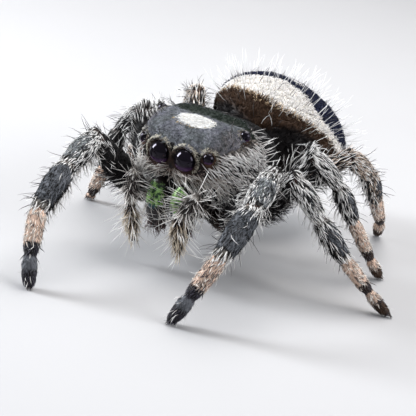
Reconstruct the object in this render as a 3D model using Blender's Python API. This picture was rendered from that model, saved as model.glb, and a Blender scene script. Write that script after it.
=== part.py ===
"""A jumping spider of the Phidippus kind, standing with its front legs reaching forward.

The spider is modelled in millimetres under one empty that scales it to metres. It faces -Y, its
own left side is +X, and its feet stand on the plane z = 0. Every body is the outline of the coat.
"""

from math import cos, pi, radians, sin

import bmesh
import bpy
from mathutils import Matrix, Vector

MM = 0.001
GAP = 0.04                 # between neighbouring bodies
LEFT, RIGHT = 1, -1
SIDE_NAMES = {LEFT: "left", RIGHT: "right"}

# Prosoma: its own frame has z = 0 on the lower edge of the carapace, between the middle coxae.
STANDING_HEIGHT = 2.15
NOSE_DOWN = radians(5)
CARAPACE_FRONT = 2.62
CARAPACE_REAR = 2.45
CARAPACE_HALF_WIDTH = 1.99
HEAD_NARROWING = 0.22
CROWN_HEIGHT = 2.80
CROWN_END = -0.8           # behind this the back of the carapace slopes down
REAR_SLOPE = 0.19
CLYPEUS_HEIGHT = 0.95      # lower edge of the face, above the chelicerae

# Eyes: centre on the spider's left side, and radius. Each pair is mirrored.
EYES = {
    "eye_front": ((0.48, -2.45, 1.72), 0.39),
    "eye_side": ((1.22, -2.33, 1.95), 0.195),
    "eye_small": ((1.50, -1.99, 1.83), 0.09),
    "eye_rear": ((1.62, -0.92, 2.48), 0.185),
}

CHELICERA_CENTRE = (0.46, -2.28, -0.08)
CHELICERA_RADII = (0.42, 0.50, 0.96)

# Abdomen: egg-shaped, swung a little to the spider's right and rolled towards its left, its rear
# end lower than its front.
WAIST_END = (0.05, 2.66, 2.24)
ABDOMEN_FRONT = (0.05, 2.32, 3.60)
ABDOMEN_RADII = (2.62, 2.77, 1.75)
ABDOMEN_TILT = radians(-6)
ABDOMEN_SWING = radians(10)
ABDOMEN_ROLL = radians(22)
SPINNERET_LENGTH = 0.5

# Legs, front to back: where each leaves the body on the left side, in the prosoma's frame.
COXA_ENDS = {
    1: (1.70, -1.70, -0.36),
    2: (2.08, -0.80, -0.38),
    3: (2.12, 0.30, -0.38),
    4: (1.68, 1.40, -0.38),
}
COXA_RADIUS = 0.31
SEGMENTS = ("femur", "patella", "tibia", "metatarsus", "tarsus")
SEGMENT_LENGTHS = {
    1: (3.0, 1.8, 1.95, 1.4),
    2: (2.6, 1.6, 1.5, 1.25),
    3: (2.55, 1.5, 1.4, 1.5),
    4: (3.0, 1.6, 1.8, 1.6),
}
FOOT_DEPTH = 0.05          # how far a tarsus would reach below the floor before it is cut flat
FOOT_REACH = 0.35          # of uncut tarsus past its end

# Pose of each leg: compass bearing of the leg's plane (0 straight out sideways, 90 back),
# the plane's lean, and the climb of each segment above level, all in degrees.
LEG_POSES = {
    (1, RIGHT): (-92, 18, (47, -22, -32, -63, -75)),
    (1, LEFT): (-63, 28, (62, -26, -43, -80, -79)),
    (2, RIGHT): (23, 6, (64, -47, -77, -70, -68)),
    (2, LEFT): (5, -13, (55, -51, -48, -43, -40)),
    (3, RIGHT): (40, 0, (48, -32, -60, -56, -45)),
    (3, LEFT): (35, -5, (66, -42, -58, -56, -54)),
    (4, RIGHT): (54, -2, (52, -19, -47, -60, -64)),
    (4, LEFT): (62, -30, (50, -36, -52, -54, -70)),
}

# Half widths and half heights along each segment: start, belly, end. The front legs are stoutest.
SEGMENT_SIZES = {
    "femur": ((0.31, 0.32), (0.42, 0.57), (0.33, 0.35)),
    "patella": ((0.33, 0.34), (0.40, 0.42), (0.34, 0.34)),
    "tibia": ((0.34, 0.34), (0.38, 0.38), (0.29, 0.29)),
    "metatarsus": ((0.29, 0.29), (0.28, 0.28), (0.25, 0.25)),
    "tarsus": ((0.25, 0.25), (0.25, 0.25), (0.19, 0.19)),
}
STOUTNESS = {1: 1.12, 2: 0.96, 3: 0.94, 4: 0.98}

# Palps: base, knee, wrist and tip in the standing frame. They hang in front of the chelicerae.
PALP_POINTS = {
    RIGHT: ((-1.18, -2.05, 1.98), (-1.12, -3.02, 2.84), (-0.80, -3.42, 1.88), (-0.52, -3.32, 0.66)),
    LEFT: ((1.18, -2.05, 1.98), (1.30, -2.98, 2.74), (1.02, -3.36, 2.02), (1.24, -3.34, 0.76)),
}
PALP_SIZES = {
    "femur": ((0.22, 0.22), (0.25, 0.25), (0.22, 0.22)),
    "tibia": ((0.22, 0.22), (0.28, 0.28), (0.25, 0.25)),
    "tarsus": ((0.25, 0.25), (0.28, 0.28), (0.16, 0.16)),
}

LIMB_SIDES = 9
SHARP_BEND = 0.7           # cosine of the bend past which a knee's corner is taken off
KNEE_ROUNDING = 1.08       # what is left of the corner, in half heights
LIMB_STATIONS = (0.06, 0.45, 0.94)

COLOURS = {
    "dark_hair": (0.030, 0.030, 0.035),
    "slate": (0.055, 0.065, 0.080),
    "grey_white_hair": (0.42, 0.42, 0.40),
    "peach_hair": (0.62, 0.42, 0.33),
    "velvet": (0.045, 0.032, 0.028),
    "iridescent_green": (0.05, 0.42, 0.20),
    "eye_lens": (0.006, 0.006, 0.008),
    "under_body": (0.10, 0.08, 0.075),
}
SEGMENT_COLOURS = {
    "femur": "dark_hair",
    "patella": "grey_white_hair",
    "tibia": "slate",
    "metatarsus": "peach_hair",
    "tarsus": "dark_hair",
}

PROSOMA = Matrix.Translation((0, 0, STANDING_HEIGHT)) @ Matrix.Rotation(NOSE_DOWN, 4, "X")


# ---- Scene helpers ----

def clear_scene():
    for obj in list(bpy.data.objects):
        bpy.data.objects.remove(obj, do_unlink=True)


def new_collection(name):
    collection = bpy.data.collections.new(name)
    bpy.context.scene.collection.children.link(collection)
    return collection


def material(name):
    found = bpy.data.materials.get(name)
    if found:
        return found
    made = bpy.data.materials.new(name)
    made.use_nodes = True
    shader = made.node_tree.nodes["Principled BSDF"]
    shader.inputs["Base Color"].default_value = (*COLOURS[name], 1)
    shader.inputs["Roughness"].default_value = 0.08 if name == "eye_lens" else 0.7
    shader.inputs["Metallic"].default_value = 0.5 if name == "iridescent_green" else 0.0
    return made


def add_object(name, bm, collection, root, colour, place=Matrix()):
    """Makes the bmesh an object under the root, which turns its millimetres into metres."""
    bmesh.ops.recalc_face_normals(bm, faces=bm.faces)
    if bm.calc_volume(signed=True) < 0:
        bmesh.ops.reverse_faces(bm, faces=bm.faces)
    mesh = bpy.data.meshes.new(name)
    bm.to_mesh(mesh)
    bm.free()
    mesh.shade_smooth()
    obj = bpy.data.objects.new(name, mesh)
    obj.data.materials.append(material(colour))
    obj.parent = root
    obj.matrix_local = place
    collection.objects.link(obj)
    return obj


def add_helper(name, bm, helpers, root, place=Matrix()):
    obj = add_object(name, bm, helpers, root, "under_body", place)
    obj.hide_render = True
    obj.display_type = "WIRE"
    return obj


def boolean(obj, operation, helper):
    cut = obj.modifiers.new(helper.name, "BOOLEAN")
    cut.operation = operation
    cut.object = helper


# ---- Shapes ----

def smooth_step(value):
    value = min(max(value, 0), 1)
    return value * value * (3 - 2 * value)


def power(value, exponent):
    """The value's size raised to the exponent, with its sign kept."""
    return (1 if value >= 0 else -1) * abs(value) ** exponent


def shaped_sphere(shape, around, rings):
    """A sphere whose poles lie along Y, moved point by point by shape(unit point)."""
    bm = bmesh.new()
    bmesh.ops.create_uvsphere(bm, u_segments=around, v_segments=rings, radius=1)
    bmesh.ops.rotate(bm, verts=bm.verts, matrix=Matrix.Rotation(pi / 2, 3, "X"))
    for vert in bm.verts:
        vert.co = shape(vert.co.copy())
    return bm


def ellipsoid(centre, radii, around=12, rings=8):
    def shape(unit):
        return Vector(c + u * r for c, u, r in zip(centre, unit, radii))
    return shaped_sphere(shape, around, rings)


def split_station(unit, fullness):
    """Where a point of a boxy body is along Y, from -1 to 1, and how wide the body is there."""
    across = Vector((unit.x, unit.z)).length
    along = power(unit.y, fullness)
    width = across ** fullness
    angle = Vector((unit.x, unit.z)).normalized() if across > 1e-6 else Vector((1, 0))
    return along, width, angle


def carapace_point(unit):
    """High, box-like head, widest behind its middle, with a back that slopes down."""
    along, width, angle = split_station(unit, 0.5 if unit.y < 0 else 0.92)
    y = along * (CARAPACE_FRONT if along < 0 else CARAPACE_REAR)
    half_width = CARAPACE_HALF_WIDTH - HEAD_NARROWING * smooth_step((-y - 0.2) / 2.2)
    top = CROWN_HEIGHT - REAR_SLOPE * max(y - CROWN_END, 0) ** 2
    bottom = CLYPEUS_HEIGHT * smooth_step((-y - 1.35) / 1.1)
    waist = 0.45 + 0.45 * smooth_step((2.2 - y) / 1.6) + 0.6 * smooth_step((-y - 1.2) / 1.2)
    across = power(angle.x, 0.42 if angle.y > 0 else 0.62)
    up = power(angle.y, 0.52 if angle.y > 0 else 0.4)
    height = top - waist if up > 0 else waist - bottom
    return Vector((half_width * across * width, y, waist + height * up * width))


def abdomen_point(unit):
    """An egg: blunt in front, fullest behind its middle, drawn in towards the spinnerets."""
    along, width, angle = split_station(unit, 0.86 if unit.y < 0 else 1.0)
    taper = 1 - 0.10 * smooth_step(along) + 0.03 * along
    flat_belly = 0.90 if angle.y < 0 else 1.0
    return Vector((
        ABDOMEN_RADII[0] * angle.x * width * taper,
        ABDOMEN_RADII[1] * along,
        ABDOMEN_RADII[2] * angle.y * width * taper * flat_belly,
    ))


def chelicera_point(side):
    """A stout barrel, broadest at its upper third, leaning a little out at its foot."""
    centre = Vector(CHELICERA_CENTRE)

    def shape(unit):
        x, y, z = (power(value, 0.8) * radius for value, radius in zip(unit, CHELICERA_RADII))
        low = smooth_step((0.1 - z) / 0.8)
        x = x * (1 - 0.22 * low) + 0.06 * low
        y = y * (1 - 0.30 * low) + 0.10 * low
        return Vector((side * (centre.x + x), centre.y + y, centre.z + z))
    return shape


def ring(bm, centre, across, up, sizes):
    """One section of a limb: an ellipse of points about its centre."""
    turn = 2 * pi / LIMB_SIDES
    return [
        bm.verts.new(centre + across * sizes[0] * cos(i * turn) + up * sizes[1] * sin(i * turn))
        for i in range(LIMB_SIDES)
    ]


def sizes_at(sizes, t):
    """Half width and half height at t along a segment, through its start, belly and end sizes."""
    start, belly, end = sizes
    nearer, weight = (start, 1 - t / 0.45) if t < 0.45 else (end, (t - 0.45) / 0.55)
    weight = smooth_step(weight)
    return [b + (n - b) * weight for n, b in zip(nearer, belly)]


def cut_flat(bm, point, normal):
    """Removes what lies on the normal's side of a plane, and closes the cut."""
    bmesh.ops.bisect_plane(
        bm, geom=[*bm.verts, *bm.edges, *bm.faces], dist=1e-5,
        plane_co=point, plane_no=normal, clear_outer=True,
    )
    bmesh.ops.holes_fill(bm, edges=bm.edges, sides=0)


def mitre(bm, joint, incoming, outgoing, size, kept_side):
    """Cuts a segment on the plane that halves the bend, and takes the corner off a sharp knee."""
    halving = (incoming + outgoing).normalized() * kept_side
    cut_flat(bm, joint + halving * GAP / 2, -halving)
    corner = (incoming - outgoing).normalized()
    if incoming.dot(outgoing) < SHARP_BEND:
        cut_flat(bm, joint + corner * size * KNEE_ROUNDING, corner)


def limb(start, end, side, sizes, before=None, after=None, reach=0.5):
    """A segment of a leg, cut at each joint on the plane that halves the bend.

    before and after are the neighbours' directions. An end without one is rounded off.
    """
    bm = bmesh.new()
    along = (end - start).normalized()
    across = (side - along * side.dot(along)).normalized()
    up = across.cross(along)
    stations = [(start + (end - start) * t, sizes_at(sizes, t)) for t in LIMB_STATIONS]
    for at_end, point, neighbour in ((False, start, before), (True, end, after)):
        size = sizes[2] if at_end else sizes[0]
        out = along if at_end else -along
        if neighbour is None:
            extra = [(point + out * size[0] * 0.5, [s * 0.72 for s in size])]
        else:
            extra = [
                (point + out * reach * 0.45, [s * 0.96 for s in size]),
                (point + out * reach, [s * 0.70 for s in size]),
            ]
            extra = extra if at_end else extra[::-1]
        stations = stations + extra if at_end else extra + stations
    rings = [ring(bm, centre, across, up, size) for centre, size in stations]
    for first, second in zip(rings, rings[1:]):
        for i in range(LIMB_SIDES):
            j = (i + 1) % LIMB_SIDES
            bm.faces.new((first[i], first[j], second[j], second[i]))
    bm.faces.new(rings[0])
    bm.faces.new(rings[-1])
    if before is not None:
        mitre(bm, start, before, along, sizes[0][1], 1)
    if after is not None:
        mitre(bm, end, along, after, sizes[2][1], -1)
    return bm


# ---- The spider ----

def leg_points(number, side):
    """The leg's points from inside the coxa to the tip, and the normal of the leg's plane."""
    bearing, lean, climbs = LEG_POSES[number, side]
    x, y, z = COXA_ENDS[number]
    inner = PROSOMA @ Vector((side * x * 0.55, y * 0.75, z))
    points = [inner, PROSOMA @ Vector((side * x, y, z))]
    out = Vector((cos(radians(bearing)) * side, sin(radians(bearing)), 0))
    sideways = Vector((-sin(radians(bearing)) * side, cos(radians(bearing)), 0))
    up = Vector((0, 0, 1)) * cos(radians(lean)) + sideways * sin(radians(lean))
    directions = [out * cos(radians(climb)) + up * sin(radians(climb)) for climb in climbs]
    for length, direction in zip(SEGMENT_LENGTHS[number], directions):
        points.append(points[-1] + direction * length)
    to_floor = (points[-1].z + FOOT_DEPTH) / -directions[-1].z
    points.append(points[-1] + directions[-1] * to_floor)
    return points, out.cross(up)


def build_leg(number, side, parts, root):
    points, plane_normal = leg_points(number, side)
    directions = [(b - a).normalized() for a, b in zip(points, points[1:])]
    for i, segment in enumerate(SEGMENTS):
        sizes = [[s * STOUTNESS[number] for s in pair] for pair in SEGMENT_SIZES[segment]]
        last = i == len(SEGMENTS) - 1
        bm = limb(
            points[i + 1], points[i + 2], plane_normal, sizes,
            before=directions[i], after=directions[i + 1] if last else directions[i + 2],
            reach=FOOT_REACH if last else 0.55,
        )
        if last:
            cut_flat(bm, Vector(), Vector((0, 0, -1)))
        name = f"leg{number}_{SIDE_NAMES[side]}_{segment}"
        add_object(name, bm, parts, root, SEGMENT_COLOURS[segment])


def build_palp(side, parts, root):
    points = [Vector(point) for point in PALP_POINTS[side]]
    directions = [(b - a).normalized() for a, b in zip(points, points[1:])]
    for i, segment in enumerate(("femur", "tibia", "tarsus")):
        bm = limb(
            points[i], points[i + 1], Vector((1, 0, 0)), PALP_SIZES[segment],
            before=directions[i - 1] if i else None,
            after=directions[i + 1] if i < 2 else None, reach=0.35,
        )
        colour = "grey_white_hair" if segment == "tibia" else "dark_hair"
        add_object(f"palp_{SIDE_NAMES[side]}_{segment}", bm, parts, root, colour)


def build_carapace(parts, helpers, root):
    """The carapace, with a socket for each eye."""
    carapace = add_object(
        "carapace", shaped_sphere(carapace_point, 28, 16), parts, root, "slate", PROSOMA)
    for name, (centre, radius) in EYES.items():
        for side in (LEFT, RIGHT):
            place = (centre[0] * side, centre[1], centre[2])
            socket = ellipsoid(place, [radius + GAP / 2] * 3, 12, 8)
            cutter = add_helper(f"socket_{name}_{SIDE_NAMES[side]}", socket, helpers, root, PROSOMA)
            boolean(carapace, "DIFFERENCE", cutter)


def build_eyes(parts, root):
    for name, (centre, radius) in EYES.items():
        around, rings = (14, 8) if radius > 0.3 else (10, 6)
        for side in (LEFT, RIGHT):
            lens = ellipsoid((centre[0] * side, centre[1], centre[2]), [radius] * 3, around, rings)
            add_object(f"{name}_{SIDE_NAMES[side]}", lens, parts, root, "eye_lens", PROSOMA)


def build_chelicerae(parts, root):
    for side in (LEFT, RIGHT):
        bm = shaped_sphere(chelicera_point(side), 14, 9)
        name = f"chelicera_{SIDE_NAMES[side]}"
        add_object(name, bm, parts, root, "iridescent_green", PROSOMA)


def build_under_body(parts, helpers, root):
    """Sternum, mouthparts, the coxae of all eight legs and the thin waist, as one piece."""
    sternum = ellipsoid((0, -0.15, -0.42), (1.35, 1.75, 0.34), 16, 8)
    body = add_object("sternum_and_coxae", sternum, parts, root, "under_body", PROSOMA)
    coxa_sizes = [(COXA_RADIUS, COXA_RADIUS)] * 3
    for number in COXA_ENDS:
        for side in (LEFT, RIGHT):
            points, plane_normal = leg_points(number, side)
            knee_way = (points[2] - points[1]).normalized()
            coxa = limb(points[0], points[1], plane_normal, coxa_sizes, after=knee_way, reach=0.3)
            name = f"coxa_{number}_{SIDE_NAMES[side]}"
            boolean(body, "UNION", add_helper(name, coxa, helpers, root))
    mouth = ellipsoid((0, -1.26, -0.46), (0.68, 0.42, 0.36), 12, 8)
    boolean(body, "UNION", add_helper("mouthparts", mouth, helpers, root, PROSOMA))
    waist = limb(
        PROSOMA @ Vector((0, 1.1, -0.38)), Vector(WAIST_END), Vector((1, 0, 0)),
        [(0.3, 0.2), (0.22, 0.18), (0.22, 0.18)],
    )
    boolean(body, "UNION", add_helper("waist", waist, helpers, root))


def build_abdomen(parts, helpers, root):
    turn = Matrix.Rotation(ABDOMEN_SWING, 4, "Z") @ Matrix.Rotation(ABDOMEN_TILT, 4, "X")
    turn = turn @ Matrix.Rotation(ABDOMEN_ROLL, 4, "Y")
    place = Matrix.Translation(ABDOMEN_FRONT) @ turn @ Matrix.Translation((0, ABDOMEN_RADII[1], 0))
    add_object("abdomen", shaped_sphere(abdomen_point, 24, 16), parts, root, "velvet", place)
    base = ABDOMEN_RADII[1] - 0.02
    cluster = ellipsoid((0, base + 0.16, -0.25), (0.34, 0.22, 0.28), 10, 6)
    spinnerets = add_object("spinnerets", cluster, parts, root, "under_body", place)
    for side in (LEFT, RIGHT):
        start = Vector((side * 0.14, base + 0.15, -0.25))
        end = start + Vector((side * 0.05, SPINNERET_LENGTH, -0.08))
        cone = limb(start, end, Vector((1, 0, 0)), [(0.13, 0.13), (0.11, 0.11), (0.08, 0.08)])
        helper = add_helper(f"spinneret_{SIDE_NAMES[side]}", cone, helpers, root, place)
        boolean(spinnerets, "UNION", helper)


def centre_on_floor(root, parts):
    """Slides the root so that the middle of the whole spider's box is over the origin."""
    bpy.context.view_layer.update()
    graph = bpy.context.evaluated_depsgraph_get()
    low, high = Vector((1e9,) * 3), Vector((-1e9,) * 3)
    for obj in parts.objects:
        evaluated = obj.evaluated_get(graph)
        for vert in evaluated.data.vertices:
            point = evaluated.matrix_world @ vert.co
            low = Vector(map(min, low, point))
            high = Vector(map(max, high, point))
    middle = (low + high) / 2
    root.location = (-middle.x, -middle.y, 0)


def main():
    clear_scene()
    parts = new_collection("jumping_spider")
    helpers = new_collection("cutters")
    root = bpy.data.objects.new("spider_root", None)
    root.scale = (MM, MM, MM)
    parts.objects.link(root)
    build_carapace(parts, helpers, root)
    build_eyes(parts, root)
    build_chelicerae(parts, root)
    build_under_body(parts, helpers, root)
    build_abdomen(parts, helpers, root)
    for number, side in LEG_POSES:
        build_leg(number, side, parts, root)
    for side in (LEFT, RIGHT):
        build_palp(side, parts, root)
    parts.objects.unlink(root)
    bpy.context.scene.collection.objects.link(root)
    centre_on_floor(root, parts)


main()
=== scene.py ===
"""The looks of a Phidippus jumping spider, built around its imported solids.

One skin is remeshed from the flesh solids and drawn in by the depth of the coat. Eyes, jaws, fangs
and claws are pieces of their own. The hair is solid mesh: closed, curved spikes that grow from the
skin. Lengths are in millimetres until a mesh is written, when MM turns them into metres.
"""

from math import ceil, cos, pi, radians, sin, sqrt, tau

import bpy
import numpy as np
from mathutils import Matrix, Vector
from mathutils.bvhtree import BVHTree


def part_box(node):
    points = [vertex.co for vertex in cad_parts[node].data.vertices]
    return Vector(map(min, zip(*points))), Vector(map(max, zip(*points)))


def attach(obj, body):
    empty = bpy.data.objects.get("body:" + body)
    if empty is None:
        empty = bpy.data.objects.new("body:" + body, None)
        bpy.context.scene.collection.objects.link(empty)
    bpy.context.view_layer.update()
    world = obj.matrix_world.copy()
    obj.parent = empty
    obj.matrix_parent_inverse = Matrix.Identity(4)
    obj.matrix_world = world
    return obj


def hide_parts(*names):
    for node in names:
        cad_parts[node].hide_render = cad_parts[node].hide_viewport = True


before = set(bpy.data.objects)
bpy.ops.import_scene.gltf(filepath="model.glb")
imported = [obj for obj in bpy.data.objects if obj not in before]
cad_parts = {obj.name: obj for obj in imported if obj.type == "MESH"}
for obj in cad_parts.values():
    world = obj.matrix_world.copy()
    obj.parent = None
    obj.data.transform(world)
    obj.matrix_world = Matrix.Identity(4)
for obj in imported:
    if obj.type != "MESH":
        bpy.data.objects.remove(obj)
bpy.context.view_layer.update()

MM = 0.001
SIDES = ("left", "right")
LEG_SEGMENTS = ("femur", "patella", "tibia", "metatarsus", "tarsus")
PALP_SEGMENTS = ("femur", "tibia", "tarsus")
PALP_KINDS = tuple(f"palp_{segment}" for segment in PALP_SEGMENTS)
rng = np.random.default_rng(1741)

# Skin
VOXEL = 0.067
SMOOTHING = 9
BODY_SMOOTHING = 26
COAT_DEPTH = {
    "carapace": 0.02, "under": 0.05, "abdomen": 0.06, "spinnerets": 0.03, "femur": 0.05,
    "patella": 0.05, "tibia": 0.02, "metatarsus": 0.04, "tarsus": 0.04,
    "palp_femur": 0.04, "palp_tibia": 0.05, "palp_tarsus": 0.06, "jaw": 0,
}
DEPTH_SMOOTHING = 12
JAW_VOXEL = 0.035
JAW_SMOOTHING = 14
JAW_DEPTH = 0.02           # how far the jaws' surface is drawn in
LENS_GRID = (32, 48)       # bands from pole to pole of an eye, and points round it
FANG_RADIUS = 0.085
CLAW_RADIUS = 0.022
CLAW_GRID = (8, 8)         # rings along a claw, and points round it
SLIVER = 1e-5              # triangles of less area have no sure direction
CAP_GAP = 0.09             # the farthest that two neighbouring solids' cut faces lie apart
END_DEPTH = 0.1            # points this near to a palp's farthest point count as its end
SOLE = 0.02                # height below which a foot's points rest on the floor

# Head frame: origin under the middle of the head, turned down at the nose.
NOSE_DOWN = radians(5)
FRONT_EYE_HEIGHT = 1.72
FRONT_EYE_REACH = 2.45
CROWN_EDGE = 2.13          # height where the crown's flat scales give way to the cheeks
CLYPEUS_TOP = 1.36
SPOT_PLACE = (0.11, -1.50)
SPOT_HALF = (0.64, 0.39)
TUFT = (1.3, -1.62, 2.58)  # a tuft of lashes, with its mirror image on the other side

# Balls inside the body that close it: shares of a joint's and an eye's radius, then (centre, radii)
# in the head's frame, then the waist, along and below the abdomen's front end
JOINT_FILL = 0.96
EYE_FILL = 0.97
HEAD_FILL = (((0, -0.1, 0.25), (1.62, 2.15, 0.75)), ((0, -1.9, 0.35), (0.85, 0.55, 0.65)))
PALP_ROOT = (0, -1.75, 0.1)
PALP_ROOT_RADIUS = 0.2
WAIST_ALONG, WAIST_BELOW = 0.42, 1.05
WAIST_RADII = (0.36, 0.45, 0.45)

# Abdomen
ABDOMEN_ROLL = radians(22)  # about its length, towards the spider's left
BAND_MIDDLE = radians(5)   # the middle line of its markings, from straight up

# Camera, measured from the middle between the two front eyes
AIM = (0.52, 1.81, -1.97)
AZIMUTH = radians(30)
ELEVATION = radians(18.5)
ROLL = radians(10)
DISTANCE = 48
LENS = 126.26              # focal length

FLOOR_SIDE = 1600
PATCH = 0.003              # side of one hair's place on the map
MOST_TRIANGLES = 190_000   # in one piece of the coat
LEAST_HEIGHT = 0.002       # of a hair's points above the floor


# ---- Small tools ----

def unit(vectors):
    vectors = np.asarray(vectors, float)
    return vectors / np.maximum(np.linalg.norm(vectors, axis=-1, keepdims=True), 1e-9)


def step(values, low, high):
    """0 below low, 1 above high, smooth between."""
    share = np.clip((np.asarray(values, float) - low) / (high - low), 0, 1)
    return share * share * (3 - 2 * share)


def window(values, low, high, edge):
    """1 between low and high, fading to 0 over edge on either side."""
    return step(values, low - edge, low + edge) * (1 - step(values, high - edge, high + edge))


def bell(values, centre, width):
    return np.exp(-((values - centre) / width) ** 2)


def dots(a, b):
    return np.einsum("ij,ij->i", a, b)


def distance(points, centre):
    return np.linalg.norm(points - centre, axis=1)


def ripple(points, wavelength, seed):
    """Smooth noise from -1 to 1 that changes over about one wavelength."""
    draw = np.random.default_rng(seed)
    total = np.zeros(len(points))
    for _ in range(6):
        wave = unit(draw.normal(size=3)) * tau / wavelength * draw.uniform(0.6, 1.5)
        total += np.sin(points @ wave + draw.uniform(0, tau))
    return np.clip(total / 3, -1, 1)


def swirl(points, wavelength, seed):
    return np.stack([ripple(points, wavelength, seed + axis) for axis in range(3)], axis=1)


# ---- The solids of the frame ----

def read(items, key, width=1, kind=float):
    """One property of a mesh's items, in rows of the given width."""
    values = np.empty(len(items) * width, np.float32 if kind is float else np.int32)
    items.foreach_get(key, values)
    return values.astype(kind).reshape(-1, width)


def points_of(mesh):
    return read(mesh.vertices, "co", 3)


def normals_of(mesh):
    return read(mesh.vertex_normals, "vector", 3)


def edges_of(mesh):
    return read(mesh.edges, "vertices", 2, int)


def triangles_of(mesh):
    mesh.calc_loop_triangles()
    return read(mesh.loop_triangles, "vertices", 3, int)


def solid(node):
    """The points, in millimetres, and triangles of a CAD node."""
    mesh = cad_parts[node].data
    return points_of(mesh) / MM, triangles_of(mesh)


def tree_of(points, faces):
    return BVHTree.FromPolygons(points.tolist(), faces.tolist())


def middle(node):
    low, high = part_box(node)
    return np.array((low + high) / 2) / MM


def extent(node):
    low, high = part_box(node)
    return np.array(high - low) / MM


def cap_between(node, other):
    """Centre and radius of the cut face that a node turns to its neighbour."""
    points, faces = solid(node)
    tree = tree_of(*solid(other))
    total, area = np.zeros(3), 0.0
    for corners in points[faces]:
        cross = np.cross(corners[1] - corners[0], corners[2] - corners[0])
        size = np.linalg.norm(cross) / 2
        if size < SLIVER:
            continue
        centre, normal = corners.mean(0), cross / size / 2
        hit = tree.ray_cast(Vector(centre), Vector(normal), CAP_GAP)
        if hit[0] is not None:
            total += centre * size
            area += size
    return total / area, sqrt(area / pi)


class Part:
    """A body part with its own frame: along runs away from the head, up is its back."""

    def __init__(self, name, kind, start, along, up, length, leg=0):
        self.name, self.kind, self.leg = name, kind, leg
        self.start, self.length = np.asarray(start, float), length
        self.along = unit(along)
        self.side = unit(np.cross(self.along, up))
        self.up = np.cross(self.side, self.along)


def far_end(node, centre):
    """The middle of the end of a node that lies farthest from a point."""
    points = solid(node)[0]
    away = distance(points, centre)
    return points[away > away.max() - END_DEPTH].mean(0)


def limb_parts(stem, segments, base, leg):
    """The parts of one leg or palp, and its joints as (centre, radius)."""
    nodes = [f"{stem}_{segment}" for segment in segments]
    joints = [cap_between(a, b) for a, b in zip(nodes, nodes[1:])]
    if base:
        points = solid(nodes[-1])[0]
        foot = points[points[:, 2] < SOLE].mean(0)
        joints.insert(0, cap_between(nodes[0], base))
    else:
        foot = far_end(nodes[-1], joints[-1][0])
        joints.insert(0, (far_end(nodes[0], joints[0][0]), PALP_ROOT_RADIUS))
    places = [joint[0] for joint in joints] + [foot]
    side = unit(np.cross(places[1] - places[0], places[3] - places[2]))
    knee = places[1] - (places[0] + places[-1]) / 2
    parts = []
    for node, segment, a, b in zip(nodes, segments, places, places[1:]):
        up = np.cross(side, b - a)
        up = up if up @ knee > 0 else -up
        kind = segment if leg else f"palp_{segment}"
        parts.append(Part(node, kind, a, b - a, up, np.linalg.norm(b - a), leg))
    return parts, joints


EYES = {
    f"eye_{place}_{side}": (middle(f"eye_{place}_{side}"), extent(f"eye_{place}_{side}").mean() / 2)
    for place in ("front", "side", "small", "rear") for side in SIDES
}
BETWEEN_EYES = (EYES["eye_front_left"][0] + EYES["eye_front_right"][0]) / 2
HEAD_TURN = np.array(Matrix.Rotation(NOSE_DOWN, 3, "X"))
HEAD_ORIGIN = BETWEEN_EYES - HEAD_TURN @ np.array((0, -FRONT_EYE_REACH, FRONT_EYE_HEIGHT))


def to_head(points):
    return (np.asarray(points) - HEAD_ORIGIN) @ HEAD_TURN


def from_head(points):
    return np.asarray(points) @ HEAD_TURN.T + HEAD_ORIGIN


def body_parts():
    back, up = HEAD_TURN @ np.array((0, 1, 0)), HEAD_TURN @ np.array((0, 0, 1))
    parts = []
    for node, kind in (("carapace", "carapace"), ("sternum_and_coxae", "under")):
        length = extent(node)[1]
        parts.append(Part(node, kind, middle(node) - back * length / 2, back, up, length))
    centre = middle("abdomen")
    spinneret_drop = 0.25 * np.array((sin(ABDOMEN_ROLL), 0, cos(ABDOMEN_ROLL)))
    along = unit(middle("spinnerets") - centre + spinneret_drop)
    reach = (solid("abdomen")[0] - centre) @ along
    start = centre + along * reach.min()
    parts.append(Part("abdomen", "abdomen", start, along, (0, 0, 1), reach.max() - reach.min()))
    parts.append(Part(
        "spinnerets", "spinnerets", middle("spinnerets") - along * 0.4, along, (0, 0, 1), 0.8))
    for side in SIDES:
        node, height = f"chelicera_{side}", extent(f"chelicera_{side}")[2]
        top = middle(node) + up * height / 2
        parts.append(Part(node, "jaw", top, -up, -back, height))
    return parts


LIMBS = [(f"leg{number}_{side}", LEG_SEGMENTS, "sternum_and_coxae", number)
         for number in (1, 2, 3, 4) for side in SIDES]
LIMBS += [(f"palp_{side}", PALP_SEGMENTS, None, 0) for side in SIDES]
PARTS, JOINTS = body_parts(), []
for limb in LIMBS:
    limb_pieces, limb_joints = limb_parts(*limb)
    PARTS += limb_pieces
    JOINTS += limb_joints

KINDS, NUMBERS, STARTS, ALONGS, UPS, ACROSS, LENGTHS = (
    np.array([getattr(part, key) for part in PARTS])
    for key in ("kind", "leg", "start", "along", "up", "side", "length"))


class Spots:
    """Points on the skin, with what they lie on: part, share along it and angle around it.

    The angle is 0 on the part's back and pi on its underside, positive on one side. x, y and z are
    the place in the head's frame.
    """

    def __init__(self, points, normals, part):
        self.points, self.normals, self.part = points, normals, part
        away = points - STARTS[part]
        self.t = dots(away, ALONGS[part]) / LENGTHS[part]
        self.around = np.arctan2(dots(away, ACROSS[part]), dots(away, UPS[part]))
        self.kind = KINDS[part]
        self.leg = NUMBERS[part]
        self.along = ALONGS[part]
        self.head = to_head(points)
        self.x, self.y, self.z = self.head.T

    def __len__(self):
        return len(self.points)

    def pick(self, chosen):
        return Spots(self.points[chosen], self.normals[chosen], self.part[chosen])

    def on(self, *kinds):
        return np.isin(self.kind, kinds)


# ---- The skin ----

def ring_faces(rings, turns):
    """Two layers of triangles that join each ring of points to the next."""
    corner = np.arange((rings - 1) * turns)
    beside = corner // turns * turns + (corner + 1) % turns
    return (np.stack([corner, corner + turns, beside + turns], 1),
            np.stack([corner, beside + turns, beside], 1))


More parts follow.
